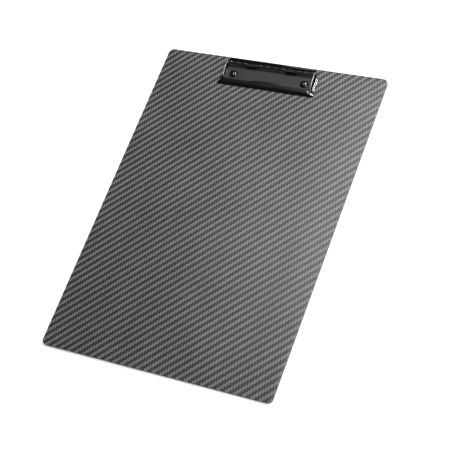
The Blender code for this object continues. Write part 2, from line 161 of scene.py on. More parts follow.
RIVET_HEAD_RADIUS = 4.0 * MM
RIVET_HEAD_HEIGHT = 2.0 * MM
RIVET_RIM = 0.4 * MM
RIVET_TAIL_RADIUS = 3.4 * MM
TAIL_RECESS = 0.1 * MM
TAIL_THICKNESS = 0.8 * MM
SHANK_RADIUS = 1.7 * MM
GAP = 0.3 * MM

corner_start = JAW_REAR_INSET - FRONT_CORNER_RADIUS
knee_corner_inset = JAW_FRONT_INSET - JAW_KNEE_SETBACK - KNEE_CORNER_RADIUS


def world(x, inset, height):
    """Point of the clip in the shared frame."""
    return Vector((x, CLIP_END - inset, BOARD_THICKNESS + height))


def mix(start, end, share):
    """Point or number that share of the way from start to end."""
    return start + (end - start) * share


def smooth(share):
    """Share eased in and out, and held between 0 and 1."""
    share = min(max(share, 0), 1)
    return share * share * (3 - 2 * share)


# ---------------------------------------------------------------- shader maths


class Value:
    """A number that varies over a surface; sums and products of it add Math nodes."""

    def __init__(self, finish, socket):
        self.finish = finish
        self.socket = socket

    def __add__(self, other):
        return self.finish.maths("ADD", self, other)

    def __radd__(self, other):
        return self.finish.maths("ADD", other, self)

    def __sub__(self, other):
        return self.finish.maths("SUBTRACT", self, other)

    def __rsub__(self, other):
        return self.finish.maths("SUBTRACT", other, self)

    def __mul__(self, other):
        return self.finish.maths("MULTIPLY", self, other)

    def __truediv__(self, other):
        return self.finish.maths("DIVIDE", self, other)

    def __pow__(self, other):
        return self.finish.maths("POWER", self, other)


class Finish:
    """A material with one Principled shader, and the nodes that feed it."""

    def __init__(self, name, **fixed):
        self.material = bpy.data.materials.new(name)
        self.material.use_nodes = True
        self.tree = self.material.node_tree
        self.shader = self.tree.nodes["Principled BSDF"]
        for socket, value in fixed.items():
            self.shader.inputs[socket.replace("_", " ")].default_value = value

    def node(self, kind, settings, inputs, output=0):
        """Adds a node: its settings are set first, then its sockets' values or links."""
        made = self.tree.nodes.new(kind)
        for setting, value in settings.items():
            setattr(made, setting, value)
        for socket, value in inputs.items():
            if isinstance(value, Value):
                self.tree.links.new(value.socket, made.inputs[socket])
            else:
                made.inputs[socket].default_value = value
        return Value(self, made.outputs[output])

    def maths(self, operation, *values):
        """One Math node on numbers or Values."""
        return self.node("ShaderNodeMath", {"operation": operation}, dict(enumerate(values)))

    def scaled(self, vector, scale):
        """The vector with each of its axes multiplied."""
        return self.node("ShaderNodeVectorMath", {"operation": "MULTIPLY"}, {0: vector, 1: scale})

    def place(self):
        """Place on the piece, in metres."""
        return self.node("ShaderNodeTexCoord", {}, {}, "Object")

    def axes(self, vector):
        return [self.node("ShaderNodeSeparateXYZ", {}, {0: vector}, axis) for axis in "XYZ"]

    def noise(self, vector, scale, detail=2.0, roughness=0.5):
        return self.node(
            "ShaderNodeTexNoise",
            {},
            {"Vector": vector, "Scale": scale, "Detail": detail, "Roughness": roughness},
        )

    def mixed(self, share, low, high):
        """A colour between two that vary, by share; 6 and 7 are the node's colour sockets."""
        links = {"Factor": share, 6: low, 7: high}
        return self.node("ShaderNodeMix", {"data_type": "RGBA"}, links, 2)

    def tint(self, share, low, high):
        """A colour between two, by share."""
        return self.mixed(share, (*low, 1), (*high, 1))

    def blend(self, share, low, high):
        """A number between two, by share."""
        return low + (high - low) * share

    def clamp(self, value):
        return self.node("ShaderNodeClamp", {}, {0: value})

    def bump(self, height, depth):
        """Normals bent as if the surface rose by depth where height is 1."""
        links = {"Strength": 1.0, "Distance": depth, "Height": height}
        return self.node("ShaderNodeBump", {}, links)

    def feed(self, **links):
        """Links Values to the Principled shader's sockets, named with _ for spaces."""
        for socket, value in links.items():
            self.tree.links.new(value.socket, self.shader.inputs[socket.replace("_", " ")])


# ---------------------------------------------------------------- finishes

TOW_X = 7.77 * MM / 4
TOW_Y = 8.42 * MM / 4
# Float colours: warp floats much lighter than weft floats is painted sheen, and each float's lit
# and shade colours are painted shade from the bundle's crown to its edges.
WARP_LIT = (0.164, 0.165, 0.153)
WARP_SHADE = (0.06, 0.0605, 0.056)
WEFT_LIT = (0.038, 0.0385, 0.0345)
WEFT_SHADE = (0.012, 0.012, 0.0105)
WEAVE_DEPTH = 0.035 * MM
PLIES = 6


def woven_board():
    """Two-by-two twill of flat fibre bundles under a thin satin resin; the warp floats are painted
    much lighter than the weft floats as painted sheen, and each bundle is painted lighter along
    its crown and darker at its edges as painted shade.
    """
    finish = Finish("woven_board_twill", Specular_IOR_Level=0.45)
    place = finish.place()
    x, y, _ = finish.axes(place)
    across = (x - board_low.x) / TOW_X
    down = (CLIP_END - y) / TOW_Y
    column = finish.maths("FLOOR", across)
    row = finish.maths("FLOOR", down)
    in_column = across - column
    in_row = down - row
    step = finish.maths("FLOORED_MODULO", column + row, 4.0)
    warp_on_top = finish.maths("LESS_THAN", step, 1.5)
    warp_along = (step + in_row) * 0.5
    weft_along = (step - 2 + in_column) * 0.5

    def arch(share, power):
        centred = finish.maths("ABSOLUTE", share * 2 - 1)
        return finish.clamp(1 - centred**power)

    warp_rise = arch(in_column, 2.6) * arch(warp_along, 3.0)
    weft_rise = arch(in_row, 2.6) * arch(weft_along, 3.0)

    def bundle_shade(number):
        return finish.node("ShaderNodeTexWhiteNoise", {"noise_dimensions": "1D"}, {"W": number})

    warp_streak = finish.noise(finish.scaled(place, (9000.0, 700.0, 1.0)), 1.0)
    weft_streak = finish.noise(finish.scaled(place, (700.0, 9000.0, 1.0)), 1.0)
    bundle_warp = bundle_shade(column)
    bundle_weft = bundle_shade(row + 0.5)
    drift = finish.noise(place, 22.0, 3.0)

    # Painted shade: each bundle's colour follows its rise, lighter on the crown and darker at the
    # edges; the streak, bundle and drift noise are the fibre's own tone.
    warp_share = warp_rise * 0.72 + (warp_streak - 0.5) * 0.9 + bundle_warp * 0.18 + 0.05
    weft_share = weft_rise * 0.62 + (weft_streak - 0.5) * 0.9 + bundle_weft * 0.18
    warp_colour = finish.tint(finish.clamp(warp_share + (drift - 0.5) * 0.5), WARP_SHADE, WARP_LIT)
    weft_colour = finish.tint(finish.clamp(weft_share + (drift - 0.5) * 0.5), WEFT_SHADE, WEFT_LIT)
    colour = finish.mixed(warp_on_top, weft_colour, warp_colour)
    rise = finish.blend(warp_on_top, weft_rise, warp_rise)
    streak = finish.blend(warp_on_top, weft_streak, warp_streak)
    finish.feed(
        Base_Color=colour,
        Roughness=0.36 + streak * 0.12 + (drift - 0.5) * 0.1,
        Normal=finish.bump(rise + streak * 0.12, WEAVE_DEPTH),
    )
    return finish.material


def cut_edge():
    """Sawn and sanded side of the board: thin plies seen end on."""
    finish = Finish("sanded_laminate_edge", Specular_IOR_Level=0.4)
    place = finish.place()
    height = finish.axes(place)[2]
    ply = finish.maths("SINE", height * (math.tau * PLIES / BOARD_THICKNESS))
    grain = finish.noise(finish.scaled(place, (1500.0, 1500.0, 5000.0)), 1.0, 3.0)
    share = finish.clamp(ply * 0.22 + grain * 0.7)
    finish.feed(
        Base_Color=finish.tint(share, (0.04, 0.04, 0.04), (0.25, 0.25, 0.245)),
        Roughness=0.45 + grain * 0.2,
        Normal=finish.bump(ply * 0.4 + grain, 0.02 * MM),
    )
    return finish.material


def stoved_enamel(name, shade, roughness, peel, stipple_depth):
    """Black stoved paint: slight orange peel, faint dust nibs and uneven gloss."""
    finish = Finish(name, Specular_IOR_Level=0.5)
    place = finish.place()
    peel_noise = finish.noise(place, peel, 2.0)
    fine = finish.noise(place, 5200.0, 2.0)
    cloud = finish.noise(place, 90.0, 4.0)
    specks = finish.node("ShaderNodeTexVoronoi", {}, {"Vector": place, "Scale": 900.0})
    nib = finish.clamp(1 - specks * 9)
    dark = tuple(part * 0.8 for part in shade)
    light = tuple(part * 1.25 for part in shade)
    finish.feed(
        Base_Color=finish.tint(finish.clamp(cloud * 0.8 + fine * 0.3), dark, light),
        Roughness=roughness - 0.03 + cloud * 0.06 + fine * 0.03,
        Normal=finish.bump(peel_noise + fine * 0.3 + nib * 0.25, stipple_depth),
    )
    return finish.material


def crest_highlight():
    """Bright patchy steel on the arms' crests: a painted highlight along the crest line, which as
    metal also reflects the lamps.
    """
    finish = Finish("crest_highlight_steel", Metallic=0.85)
    place = finish.place()
    patch_noise = finish.noise(place, 900.0, 4.0, 0.7)
    long_patch_noise = finish.noise(place, 160.0, 2.0)
    # Share of the bright steel colour: the painted highlight, broken into patches.
    highlight_share = finish.clamp(patch_noise * 0.9 + long_patch_noise * 0.9 - 0.35)
    finish.feed(
        Base_Color=finish.tint(highlight_share, (0.09, 0.09, 0.09), (0.6, 0.6, 0.6)),
        Roughness=0.34 + patch_noise * 0.2,
        Normal=finish.bump(patch_noise, 0.004 * MM),
    )
    return finish.material


def blackened_steel(name, shade, roughness, marks):
    """Oil-blacked steel with drawn or turned marks along one direction."""
    finish = Finish(name, Metallic=0.35)
    place = finish.place()
    scratch = finish.noise(finish.scaled(place, marks), 1.0, 3.0)
    cloud = finish.noise(place, 260.0, 3.0)
    light = tuple(part * 2.2 for part in shade)
    finish.feed(
        Base_Color=finish.tint(finish.clamp(scratch * 0.7 + cloud * 0.4 - 0.1), shade, light),
        Roughness=roughness + scratch * 0.12 + (cloud - 0.5) * 0.1,
        Normal=finish.bump(scratch, 0.006 * MM),
    )
    return finish.material


# ---------------------------------------------------------------- mesh work


def add_piece(name, shape, materials, angle=38):
    """A new object from a bmesh, smooth except where faces meet at more than angle degrees."""
    mesh = bpy.data.meshes.new(name)
    bmesh.ops.recalc_face_normals(shape, faces=shape.faces)
    shape.to_mesh(mesh)
    shape.free()
    for material in materials:
        mesh.materials.append(material)
    item = bpy.data.objects.new(name, mesh)
    bpy.context.scene.collection.objects.link(item)
    crease(item, angle)
    return item


def combine(item, operation, helper):
    """Applies one Boolean step and throws the helper away."""
    step = item.modifiers.new(operation, "BOOLEAN")
    step.operation = operation
    step.solver = "EXACT"
    step.object = helper
    settle(item)
    bpy.data.objects.remove(helper)


def soften(item, width, angle, segments):
    """Rounds the edges that are sharper than angle degrees."""
    step = item.modifiers.new("soften", "BEVEL")
    step.width = width
    step.segments = segments
    step.limit_method = "ANGLE"
    step.angle_limit = math.radians(angle)
    settle(item)


def settle(item):
    """Applies the modifiers."""
    bpy.context.view_layer.update()
    graph = bpy.context.evaluated_depsgraph_get()
    mesh = bpy.data.meshes.new_from_object(item.evaluated_get(graph))
    old = item.data
    item.modifiers.clear()
    item.data = mesh
    mesh.name = item.name
    bpy.data.meshes.remove(old)


def crease(item, angle):
    """Shades smooth, with hard edges where faces meet at more than angle degrees."""
    item.data.shade_smooth()
    item.data.set_sharp_from_angle(angle=math.radians(angle))


def prism(shape, points, depth):
    """Closed solid: a flat outline pushed along depth."""
    low = [shape.verts.new(point) for point in points]
    high = [shape.verts.new(point + depth) for point in points]
    shape.faces.new(low[::-1])
    shape.faces.new(high)
    for index in range(len(points)):
        after = (index + 1) % len(points)
        shape.faces.new((low[index], low[after], high[after], high[index]))


def turned(shape, profile, place, steps=56):
    """Solid of revolution about Z, from (radius, height) pairs that start and end on the axis."""
    rings = []
    for radius, height in profile:
        if radius == 0:
            rings.append([shape.verts.new(place @ Vector((0, 0, height)))])
            continue
        turns = [math.tau * step / steps for step in range(steps)]
        rings.append(
            [
                shape.verts.new(
                    place @ Vector((radius * math.cos(turn), radius * math.sin(turn), height))
                )
                for turn in turns
            ]
        )
    for ring, following in zip(rings, rings[1:]):
        for index in range(steps):
            after = (index + 1) % steps
            if len(ring) == 1:
                shape.faces.new((ring[0], following[index], following[after]))
            elif len(following) == 1:
                shape.faces.new((ring[index], following[0], ring[after]))
            else:
                shape.faces.new((ring[index], following[index], following[after], ring[after]))


def arc(centre_a, centre_b, radius, start, end, steps):
    """Points round part of a circle, both ends included."""
    turns = [mix(start, end, step / steps) for step in range(steps + 1)]
    return [(centre_a + radius * math.cos(t), centre_b + radius * math.sin(t)) for t in turns]


def skin(shape, rings, closed):
    """Joins rings of equal length side by side; open ends are capped."""
    count = len(rings[0])
    made = [[shape.verts.new(point) for point in ring] for ring in rings]
    pairs = zip(made, made[1:] + made[:1] if closed else made[1:])
    for ring, following in pairs:
        for index in range(count):
            after = (index + 1) % count
            shape.faces.new((ring[index], ring[after], following[after], following[index]))
    if not closed:
        shape.faces.new(made[0][::-1])
        shape.faces.new(made[-1])


# ---------------------------------------------------------------- board


def make_board(face, edge):
    """Rounded board with a stepped hole from the back for each rivet."""
    half_x = board_high.x - CORNER_RADIUS
    half_y = board_high.y - CORNER_RADIUS
    outline = []
    for quarter, (x, y) in enumerate(
        ((half_x, half_y), (-half_x, half_y), (-half_x, -half_y), (half_x, -half_y))
    ):
        start = quarter * math.pi / 2
        outline += arc(x, y, CORNER_RADIUS, start, start + math.pi / 2, 16)
    shape = bmesh.new()
    points = [Vector((x, y, 0)) for x, y in outline]
    prism(shape, points, Vector((0, 0, BOARD_THICKNESS)))
    board = add_piece("woven_board", shape, [face, edge])
    soften(board, EDGE_BREAK, 60, 3)
    for side in (-1, 1):
        centre = rivet_centre(side)
        ceiling = TAIL_RECESS + TAIL_THICKNESS + GAP
        shank = SHANK_RADIUS + GAP
        tail = RIVET_TAIL_RADIUS + GAP
        profile = (
            (0, 2 * BOARD_THICKNESS),
            (shank, 2 * BOARD_THICKNESS),
            (shank, ceiling),
            (tail, ceiling),
            (tail, HOLE_CHAMFER),
            (tail + 2 * HOLE_CHAMFER, -HOLE_CHAMFER),
            (0, -HOLE_CHAMFER),
        )
        cutter = bmesh.new()
        turned(cutter, profile, Matrix.Translation((centre.x, centre.y, 0)))
        combine(board, "DIFFERENCE", add_piece("hole", cutter, [edge]))
    crease(board, 30)
    for polygon in board.data.polygons:
        polygon.material_index = 0 if abs(polygon.normal.z) > 0.9 else 1
    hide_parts("board")
    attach(board, "board_body")


# ---------------------------------------------------------------- base plate


def make_base_plate(material):
    """Flat riveted plate with an ear bent up at each rear corner to carry the pin."""
    tab = EAR_OUTSIDE - TAB_SETBACK
    shoulder = HINGE_INSET + EAR_RADIUS + EAR_RELIEF
    half = [(0, PLATE_REAR_INSET)]
    corner = TAB_CORNER
    half += arc(tab - corner, PLATE_REAR_INSET + corner, corner, -math.pi / 2, 0, 4)
    half += [(tab, shoulder), (EAR_OUTSIDE, shoulder)]
    corner = PLATE_CORNER
    half += arc(EAR_OUTSIDE - corner, PLATE_FRONT_INSET - corner, corner, 0, math.pi / 2, 12)
    half.append((0, PLATE_FRONT_INSET))
    outline = half + [(-x, inset) for x, inset in half[-2:0:-1]]
    shape = bmesh.new()
    points = [world(x, inset, PLATE_LOW) for x, inset in outline]
    prism(shape, points, Vector((0, 0, PLATE_THICKNESS)))
    plate = add_piece("base_plate_pressing", shape, [material])
    for side in (-1, 1):
        combine(plate, "UNION", bent_ear(side, material))
    for side in (-1, 1):
        centre = rivet_centre(side)
        hole = bmesh.new()
        radius = SHANK_RADIUS + GAP
        low = BOARD_THICKNESS
        high = BOARD_THICKNESS + 2 * PLATE_TOP
        profile = ((0, high), (radius, high), (radius, low), (0, low))
        turned(hole, profile, Matrix.Translation((centre.x, centre.y, 0)))
        combine(plate, "DIFFERENCE", add_piece("hole", hole, [material]))
    combine(plate, "DIFFERENCE", pin_bore(material))
    soften(plate, PLATE_EDGE, 45, 2)
    crease(plate, 38)
    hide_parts("base_plate")
    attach(plate, "board_body")


def bent_ear(side, material):
    """Bent strip, trimmed round at the top."""
    bend = EAR_BEND + PLATE_THICKNESS
    foot = EAR_OUTSIDE - EAR_FOOT
    top = HINGE_HEIGHT + EAR_RADIUS
    centre_x = EAR_OUTSIDE - bend
    centre_z = PLATE_LOW + bend
    outside = arc(centre_x, centre_z, bend, -math.pi / 2, 0, 8)
    inside = arc(centre_x, centre_z, EAR_BEND, 0, -math.pi / 2, 8)
    outline = [(foot, PLATE_LOW), *outside, (EAR_OUTSIDE, top)]
    outline += [(EAR_OUTSIDE - PLATE_THICKNESS, top), *inside, (foot, PLATE_TOP)]
    shape = bmesh.new()
    rear = HINGE_INSET - EAR_RADIUS
    points = [world(side * x, rear, height) for x, height in outline]
    prism(shape, points, Vector((0, -2 * EAR_RADIUS - EAR_STRIP_SPARE, 0)))
    strip = add_piece("ear_strip", shape, [material])
    front = HINGE_INSET + EAR_RADIUS
    beyond = front + CUTTER_SPARE
    trim = [(beyond, 0), (beyond, EAR_STEP_LOW), (front, EAR_STEP_HIGH)]
    trim += arc(HINGE_INSET, HINGE_HEIGHT, EAR_RADIUS, 0, math.pi, 20)
    trim.append((rear, 0))
    cutter = bmesh.new()
    points = [world(side * (foot - CUTTER_SPARE), inset, height) for inset, height in trim]
    prism(cutter, points, Vector((side * EAR_CUT_WIDTH, 0, 0)))
    combine(strip, "INTERSECT", add_piece("trim", cutter, [material]))
    return strip


def pin_bore(material):
    """Rod that cuts the pin's holes in both ears."""
    bore = bmesh.new()
    reach = JAW_HALF_WIDTH + 2 * CUTTER_SPARE
    profile = ((0, -reach), (HOLE_RADIUS, -reach), (HOLE_RADIUS, reach), (0, reach))
    turned(bore, profile, across_axis())
    return add_piece("pin_bore", bore, [material])


def across_axis():
    """Turns a solid made along Z so that it lies along the hinge."""
    return Matrix.Translation(world(0, HINGE_INSET, HINGE_HEIGHT)) @ Matrix.Rotation(
        math.pi / 2, 4, "Y"
    )


# ---------------------------------------------------------------- rivets, pin, springs


def rivet_centre(side):
    """Middle of the rivet on that side, -1 for left and 1 for right."""
    low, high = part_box("rivet_left" if side < 0 else "rivet_right")
    return (low + high) / 2


def make_rivet(side, word, material):
    """Domed head with a rolled rim; the tail is set down with a shallow dimple."""
    centre = rivet_centre(side)
    foot = BOARD_THICKNESS + PLATE_TOP + GAP
    rise = RIVET_HEAD_HEIGHT - RIVET_RIM
    rim = RIVET_HEAD_RADIUS
    sphere = (rim**2 + rise**2) / (2 * rise)
    reach = math.asin(rim / sphere)
    top = foot + RIVET_HEAD_HEIGHT
    profile = []
    for step in range(19):
        tilt = reach * step / 18 * 0.96
        profile.append((sphere * math.sin(tilt), top - sphere * (1 - math.cos(tilt))))
    profile += [(rim, foot + 0.62 * RIVET_RIM), (rim, foot + 0.25 * RIVET_RIM)]
    profile += [(rim - 0.12 * MM, foot), (SHANK_RADIUS, foot)]
    tail_top = TAIL_RECESS + TAIL_THICKNESS
    profile += [(SHANK_RADIUS, tail_top), (RIVET_TAIL_RADIUS - 0.3 * MM, tail_top)]
    profile += [(RIVET_TAIL_RADIUS, tail_top - 0.25 * MM)]
    profile += [(RIVET_TAIL_RADIUS, TAIL_RECESS + 0.3 * MM)]
    profile += [(RIVET_TAIL_RADIUS - 0.12 * MM, TAIL_RECESS + 0.12 * MM)]
    profile += [(RIVET_TAIL_RADIUS - 0.45 * MM, TAIL_RECESS)]
    profile += [(1.5 * MM, TAIL_RECESS), (1.2 * MM, TAIL_RECESS + 0.06 * MM)]
    profile += [(0.7 * MM, TAIL_RECESS + 0.35 * MM), (0, TAIL_RECESS + 0.42 * MM)]
    shape = bmesh.new()
    turned(shape, profile, Matrix.Translation((centre.x, centre.y, 0)), 72)
    rivet = add_piece("domed_rivet_" + word, shape, [material])
    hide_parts("rivet_" + word)
    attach(rivet, "board_body")


def make_pin(material):
    """Straight rod with a low peened head at each end."""
    inside = ARM_OUTSIDE + GAP
    end = inside + PIN_HEAD
    half = [(0, end), (0.6 * MM, end - 0.02 * MM), (1.15 * MM, end - 0.1 * MM)]
    half += [(1.45 * MM, end - 0.22 * MM), (PIN_HEAD_RADIUS, end - 0.36 * MM)]
    half += [(PIN_HEAD_RADIUS, inside + 0.05 * MM), (PIN_HEAD_RADIUS - 0.05 * MM, inside)]
    half += [(PIN_RADIUS, inside)]
    profile = half + [(radius, -height) for radius, height in half[::-1]]
    shape = bmesh.new()
    turned(shape, profile, across_axis(), 48)
    pin = add_piece("hinge_rod", shape, [material])
    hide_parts("hinge_pin")
    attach(pin, "board_body")


WIRE_SIDES = 14
WIRE_DOME = [(0.6, 0.8), (0.9, 0.35)]


def wire(name, route, radius, material):
    """Round wire along a route of points, with domed ends."""
    tangents = []
    for index in range(len(route)):
        before = route[max(index - 1, 0)]
        after = route[min(index + 1, len(route) - 1)]
        tangents.append((after - before).normalized())
    across = Vector((1, 0, 0))
    across = (across - tangents[0] * across.dot(tangents[0])).normalized()
    rings = []
    last = len(route) - 1
    for index, (point, along) in enumerate(zip(route, tangents)):
        across = (across - along * across.dot(along)).normalized()
        other = along.cross(across)
        stations = [(0, 1)]
        if index == 0:
            stations = [(-ahead, size) for ahead, size in WIRE_DOME[::-1]] + stations
        if index == last:
            stations += WIRE_DOME
        for ahead, size in stations:
            ring = []
            for side in range(WIRE_SIDES):
                turn = math.tau * side / WIRE_SIDES
                spoke = across * math.cos(turn) + other * math.sin(turn)
                ring.append(point + along * (ahead * radius) + spoke * (size * radius))
            rings.append(ring)
    shape = bmesh.new()
    skin(shape, rings, False)
    return add_piece(name, shape, [material], 60)


def curve_through(points, steps):
    """Smooth line through the given points."""
    padded = [points[0] * 2 - points[1], *points, points[-1] * 2 - points[-2]]
    line = []
    for first, start, end, last in zip(padded, padded[1:], padded[2:], padded[3:]):
        for step in range(steps):
            t = step / steps
            line.append(
                (
                    start * 2
                    + (end - first) * t
                    + (first * 2 - start * 5 + end * 4 - last) * t * t
                    + (start * 3 - first - end * 3 + last) * t**3
                )
                / 2
            )
    line.append(points[-1])
    return line


def make_spring(side, word, material):
    """Close coil on the pin; one leg rests on the plate, the other presses the finger bar."""
    start_turn = -math.pi / 2
    end_turn = math.radians(-135) + math.tau * COIL_TURNS
    length = COIL_PITCH * (COIL_TURNS - 0.125)
    first_x = COIL_CENTRE - length / 2

    def on_coil(turn):
        share = (turn - start_turn) / (end_turn - start_turn)
        return (
            first_x + length * share,
            HINGE_INSET + COIL_RADIUS * math.cos(turn),
            HINGE_HEIGHT + COIL_RADIUS * math.sin(turn),
        )

    def placed(points):
        return [world(side * x, inset, height) for x, inset, height in points]

    steps = COIL_STEPS * COIL_TURNS
    coil = placed([on_coil(mix(start_turn, end_turn, step / steps)) for step in range(steps + 1)])
    last_x, last_inset, last_height = on_coil(end_turn)
    foot_height = PLATE_TOP + WIRE_RADIUS
    foot_inset = last_inset + last_height - foot_height
    foot = placed(
        [
            (last_x, foot_inset + ahead * MM, foot_height + rise * MM)
            for ahead, rise in ((-0.45, 0.4), (0.1, 0.06), (0.6, 0), (1.5, 0))
        ]
    )
    route = coil[:-1] + curve_through([coil[-1], *foot], 5)
    spring = wire("spring_coil_" + word, route, WIRE_RADIUS, material)
    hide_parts("spring_" + word)
    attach(spring, "board_body")

    arc_points = placed([on_coil(start_turn + LEG_LAP * (6 - step) / 6) for step in range(7)])
    coil_bottom = HINGE_HEIGHT - COIL_RADIUS
    leg = placed(
        [
            (first_x, HINGE_INSET - back * MM, coil_bottom + rise * MM)
            for back, rise in ((1.4, -0.02), (2.6, 0.15), (3.5, 0.62), (4.05, 1.2))
        ]
    )
    route = arc_points[:-1] + curve_through([arc_points[-1], *leg], 6)
    arm = wire("spring_leg_" + word, route, WIRE_RADIUS * 0.98, material)
    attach(arm, "lever_body")


# ---------------------------------------------------------------- lever


def arm_crest(inset):
    """Height of the arm's upper edge, a smooth curve through the finger bar, hump and jaw bar."""
    humps = [(HINGE_INSET + along * MM, HINGE_HEIGHT + rise * MM) for along, rise in ARM_RISE]
    points = [(CURL_INSET, FINGER_REAR_HEIGHT), *humps, (JAW_REAR_INSET, JAW_BAR_HEIGHT)]
    slopes = [ARM_REAR_SLOPE]
    for before, after in zip(points, points[2:]):
        slopes.append((after[1] - before[1]) / (after[0] - before[0]))
    slopes.append(ARM_FRONT_SLOPE)
    inset = min(max(inset, points[0][0]), points[-1][0])
    for index, (low, high) in enumerate(zip(points, points[1:])):
        if inset <= high[0]:
            break
    span = high[0] - low[0]
    t = (inset - low[0]) / span
    return (
        (2 * t**3 - 3 * t**2 + 1) * low[1]
        + (t**3 - 2 * t**2 + t) * span * slopes[index]
        + (3 * t**2 - 2 * t**3) * high[1]
        + (t**3 - t**2) * span * slopes[index + 1]
    )


def rear_sections():
    """Finger bar, from its middle out, and the corner into the upright arm."""
    turn_x = ARM_MIDDLE - REAR_CORNER_RADIUS
    straight_x = EAR_OUTSIDE - PLATE_THICKNESS - TAB_SETBACK
    places = [(straight_x * step / 8, 0) for step in range(8)]
    places += [(mix(straight_x, turn_x, step / 6), step / 6) for step in range(7)]
    sections = []
    for x, narrowed in places:
        lower_inset = mix(FINGER_FRONT_INSET, REAR_CORNER_INSET, smooth(narrowed))
        upper = Vector((x, CURL_INSET, FINGER_REAR_HEIGHT))
        lower = Vector((x, lower_inset, FINGER_FRONT_HEIGHT))
        sections.append((upper, (upper + lower) / 2, lower))
    rear_foot = FINGER_FRONT_HEIGHT - REAR_CORNER_DROP
    rear_inset = HINGE_INSET - EAR_RADIUS
    for step in range(1, REAR_CORNER_STEPS + 1):
        share = step / REAR_CORNER_STEPS
        turn = share * math.pi / 2
        x = turn_x + REAR_CORNER_RADIUS * math.sin(turn)
        upper_inset = mix(CURL_INSET, rear_inset, 1 - math.cos(turn))
        lower_inset = mix(REAR_CORNER_INSET, rear_inset, 1 - math.cos(turn))
        upper = Vector((x, upper_inset, arm_crest(upper_inset)))
        lower = Vector((x, lower_inset, mix(FINGER_FRONT_HEIGHT, rear_foot, share)))
        sections.append((upper, (upper + lower) / 2, lower))
    return sections


def arm_sections():
    """Upright arm, whose foot drops and flares into the lip, to the front corner."""
    lip_inset = HINGE_INSET + LIP_START
    full_inset = lip_inset + LIP_END_LENGTH * SHEET
    wall_foot = LIP_HEIGHT + SHEET
    rear_foot = FINGER_FRONT_HEIGHT - REAR_CORNER_DROP
    rear_inset = HINGE_INSET - EAR_RADIUS
    sections = []
    for step in range(1, ARM_FOOT_STEPS):
        share = step / ARM_FOOT_STEPS
        inset = mix(rear_inset, lip_inset, share)
        upper = Vector((ARM_MIDDLE, inset, arm_crest(inset)))
        lower = Vector((ARM_MIDDLE, inset, mix(rear_foot, wall_foot, smooth(share))))
        sections.append((upper, (upper + lower) / 2, lower))
    for step in range(1, LIP_END_STEPS + 1):
        share = smooth(step / LIP_END_STEPS)
        inset = mix(lip_inset, full_inset, step / LIP_END_STEPS)
        foot = mix(wall_foot, LIP_HEIGHT, share)
        upper = Vector((ARM_MIDDLE, inset, arm_crest(inset)))
        knee = Vector((ARM_MIDDLE, inset, mix(wall_foot, LIP_HEIGHT + LIP_FALL, share)))
        lower = Vector((mix(ARM_MIDDLE, LIP_OUTSIDE, share), inset, foot))
        sections.append((upper, knee, lower))
    for step in range(1, LIP_STEPS + 1):
        share = step / LIP_STEPS
        upper_inset = mix(full_inset, corner_start, share)
        knee_inset = mix(full_inset, corner_start + KNEE_LEAD, share)
        lower_inset = mix(full_inset, corner_start + LIP_LEAD, share)
        upper = Vector((ARM_MIDDLE, upper_inset, arm_crest(upper_inset)))
        knee = Vector((ARM_MIDDLE, knee_inset, LIP_HEIGHT + LIP_FALL))
        lower = Vector((LIP_OUTSIDE, lower_inset, LIP_HEIGHT))
        sections.append((upper, knee, lower))
    return sections


def corner_track(start, tip, end, radii, share):
    """A line that runs from start to tip over the first half, then round an arc to end."""
    if share < 0.5:
        flare = smooth(2 * share)
        inset = mix(start.y, tip.y, 2 * share)
        return Vector((mix(start.x, tip.x, flare), inset, mix(start.z, tip.z, flare)))
    turn = (2 * share - 1) * math.pi / 2
    aside = radii[0] * (1 - math.cos(turn))
    ahead = radii[1] * math.sin(turn)
    return Vector((tip.x - aside, tip.y + ahead, mix(tip.z, end.z, smooth(2 * share - 1))))


def front_sections():
    """Round the front corner and in to the middle of the jaw bar, with its raised crown."""
    knee_start = Vector((ARM_MIDDLE, corner_start + KNEE_LEAD, LIP_HEIGHT + LIP_FALL))
    knee_tip = Vector((ARM_MIDDLE + KNEE_FLARE, knee_corner_inset, LIP_HEIGHT + KNEE_FLARE_RISE))
    knee_end = Vector((0, 0, KNEE_HEIGHT))
    knee_radii = (KNEE_FLARE + KNEE_CORNER_RADIUS, KNEE_CORNER_RADIUS)
    lip_start = Vector((LIP_OUTSIDE, corner_start + LIP_LEAD, LIP_HEIGHT))
    lip_tip = Vector((JAW_HALF_WIDTH, JAW_FRONT_INSET - JAW_CORNER_RADIUS, LIP_HEIGHT))
    lip_end = Vector((0, 0, JAW_EDGE_HEIGHT))
    lip_radii = (JAW_CORNER_RADIUS, JAW_CORNER_RADIUS)
    sections = []
    for step in range(1, FRONT_CORNER_STEPS + 1):
        share = step / FRONT_CORNER_STEPS
        turn = share * math.pi / 2
        upper_inset = corner_start + FRONT_CORNER_RADIUS * math.sin(turn)
        upper_x = ARM_MIDDLE - FRONT_CORNER_RADIUS * (1 - math.cos(turn))
        upper = Vector((upper_x, upper_inset, arm_crest(upper_inset)))
        knee = corner_track(knee_start, knee_tip, knee_end, knee_radii, share)
        lower = corner_track(lip_start, lip_tip, lip_end, lip_radii, share)
        sections.append((upper, knee, lower))
    last_upper, last_knee, last_lower = sections[-1]
    for step in range(1, JAW_STEPS + 1):
        left = 1 - step / JAW_STEPS
        x = last_upper.x * left
        swell = smooth((CROWN_HALF_WIDTH - abs(x)) / CROWN_SLOPE)
        height = JAW_BAR_HEIGHT + CROWN_RISE * swell
        upper = Vector((x, JAW_REAR_INSET - CROWN_DEPTH * swell, height))
        knee = Vector((last_knee.x * left, last_knee.y, last_knee.z))
        lower = Vector((last_lower.x * left, last_lower.y, last_lower.z))
        sections.append((upper, knee, lower))
    return sections


